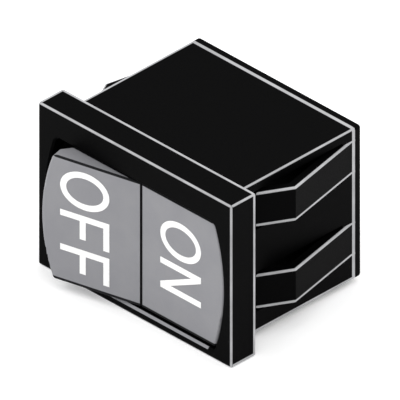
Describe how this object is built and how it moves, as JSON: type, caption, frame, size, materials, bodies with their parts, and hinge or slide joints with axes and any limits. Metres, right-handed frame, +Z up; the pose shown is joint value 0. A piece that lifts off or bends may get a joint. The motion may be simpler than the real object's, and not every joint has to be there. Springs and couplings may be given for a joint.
{
  "type": "rocker switch",
  "caption": "Snap-in on-off rocker switch: black bezel and body with spring fingers, and a grey rocker that tips see-saw contacts for two poles.",
  "frame": {"origin": "centre of the bezel's back face, in the plane of the panel it seats on", "axes": "+X along the long side towards the ON end, +Y into the panel towards the terminals, +Z up across the short side"},
  "size_m": [0.0334, 0.0344, 0.0236],
  "materials": {
    "black_moulding": "fine satin",
    "grey_moulding": "fine satin",
    "acetal": "smooth",
    "spring_steel": "drawn wire",
    "copper_strip": "rolled",
    "contact_silver": "dull silver",
    "terminal_brass": "rolled"
  },
  "bodies": {
    "frame": {"housing": "black_moulding", "base": "black_moulding", "upper_common_terminal": "terminal_brass", "upper_load_terminal": "terminal_brass", "upper_fixed_contact": "contact_silver", "lower_common_terminal": "terminal_brass", "lower_load_terminal": "terminal_brass", "lower_fixed_contact": "contact_silver"},
    "rocker": {"rocker": "grey_moulding", "upper_spring": "spring_steel", "lower_spring": "spring_steel"},
    "upper_plunger": {"upper_plunger": "acetal"},
    "upper_lever": {"upper_contact_lever": "copper_strip", "upper_moving_contact": "contact_silver"},
    "lower_plunger": {"lower_plunger": "acetal"},
    "lower_lever": {"lower_contact_lever": "copper_strip", "lower_moving_contact": "contact_silver"}
  },
  "joints": [
    {"name": "rocker_pivot", "type": "hinge", "parent": "frame", "child": "rocker", "pos_m": [0, 0.0025, -0.00128], "axis": [0, 0, -1], "range_deg": [0, 14]},
    {"name": "upper_plunger_slide", "type": "slide", "parent": "rocker", "child": "upper_plunger", "axis": [0.1219, -0.9925, 0], "range_m": [0, 0.001], "stiffness_N_per_m": 1000, "deforming": ["upper_spring"]},
    {"name": "upper_lever_rock", "type": "hinge", "parent": "frame", "child": "upper_lever", "pos_m": [0, 0.01525, 0.00304], "axis": [0, 0, 1], "range_deg": [0, 16]},
    {"name": "lower_plunger_slide", "type": "slide", "parent": "rocker", "child": "lower_plunger", "axis": [0.1219, -0.9925, 0], "range_m": [0, 0.001], "stiffness_N_per_m": 1000, "deforming": ["lower_spring"]},
    {"name": "lower_lever_rock", "type": "hinge", "parent": "frame", "child": "lower_lever", "pos_m": [0, 0.01525, -0.00559], "axis": [0, 0, 1], "range_deg": [0, 16]}
  ],
  "couplings": [
    {"joint": "upper_lever_rock", "follows": "rocker_pivot", "ratio": 1.1429},
    {"joint": "lower_lever_rock", "follows": "rocker_pivot", "ratio": 1.1429}
  ]
}
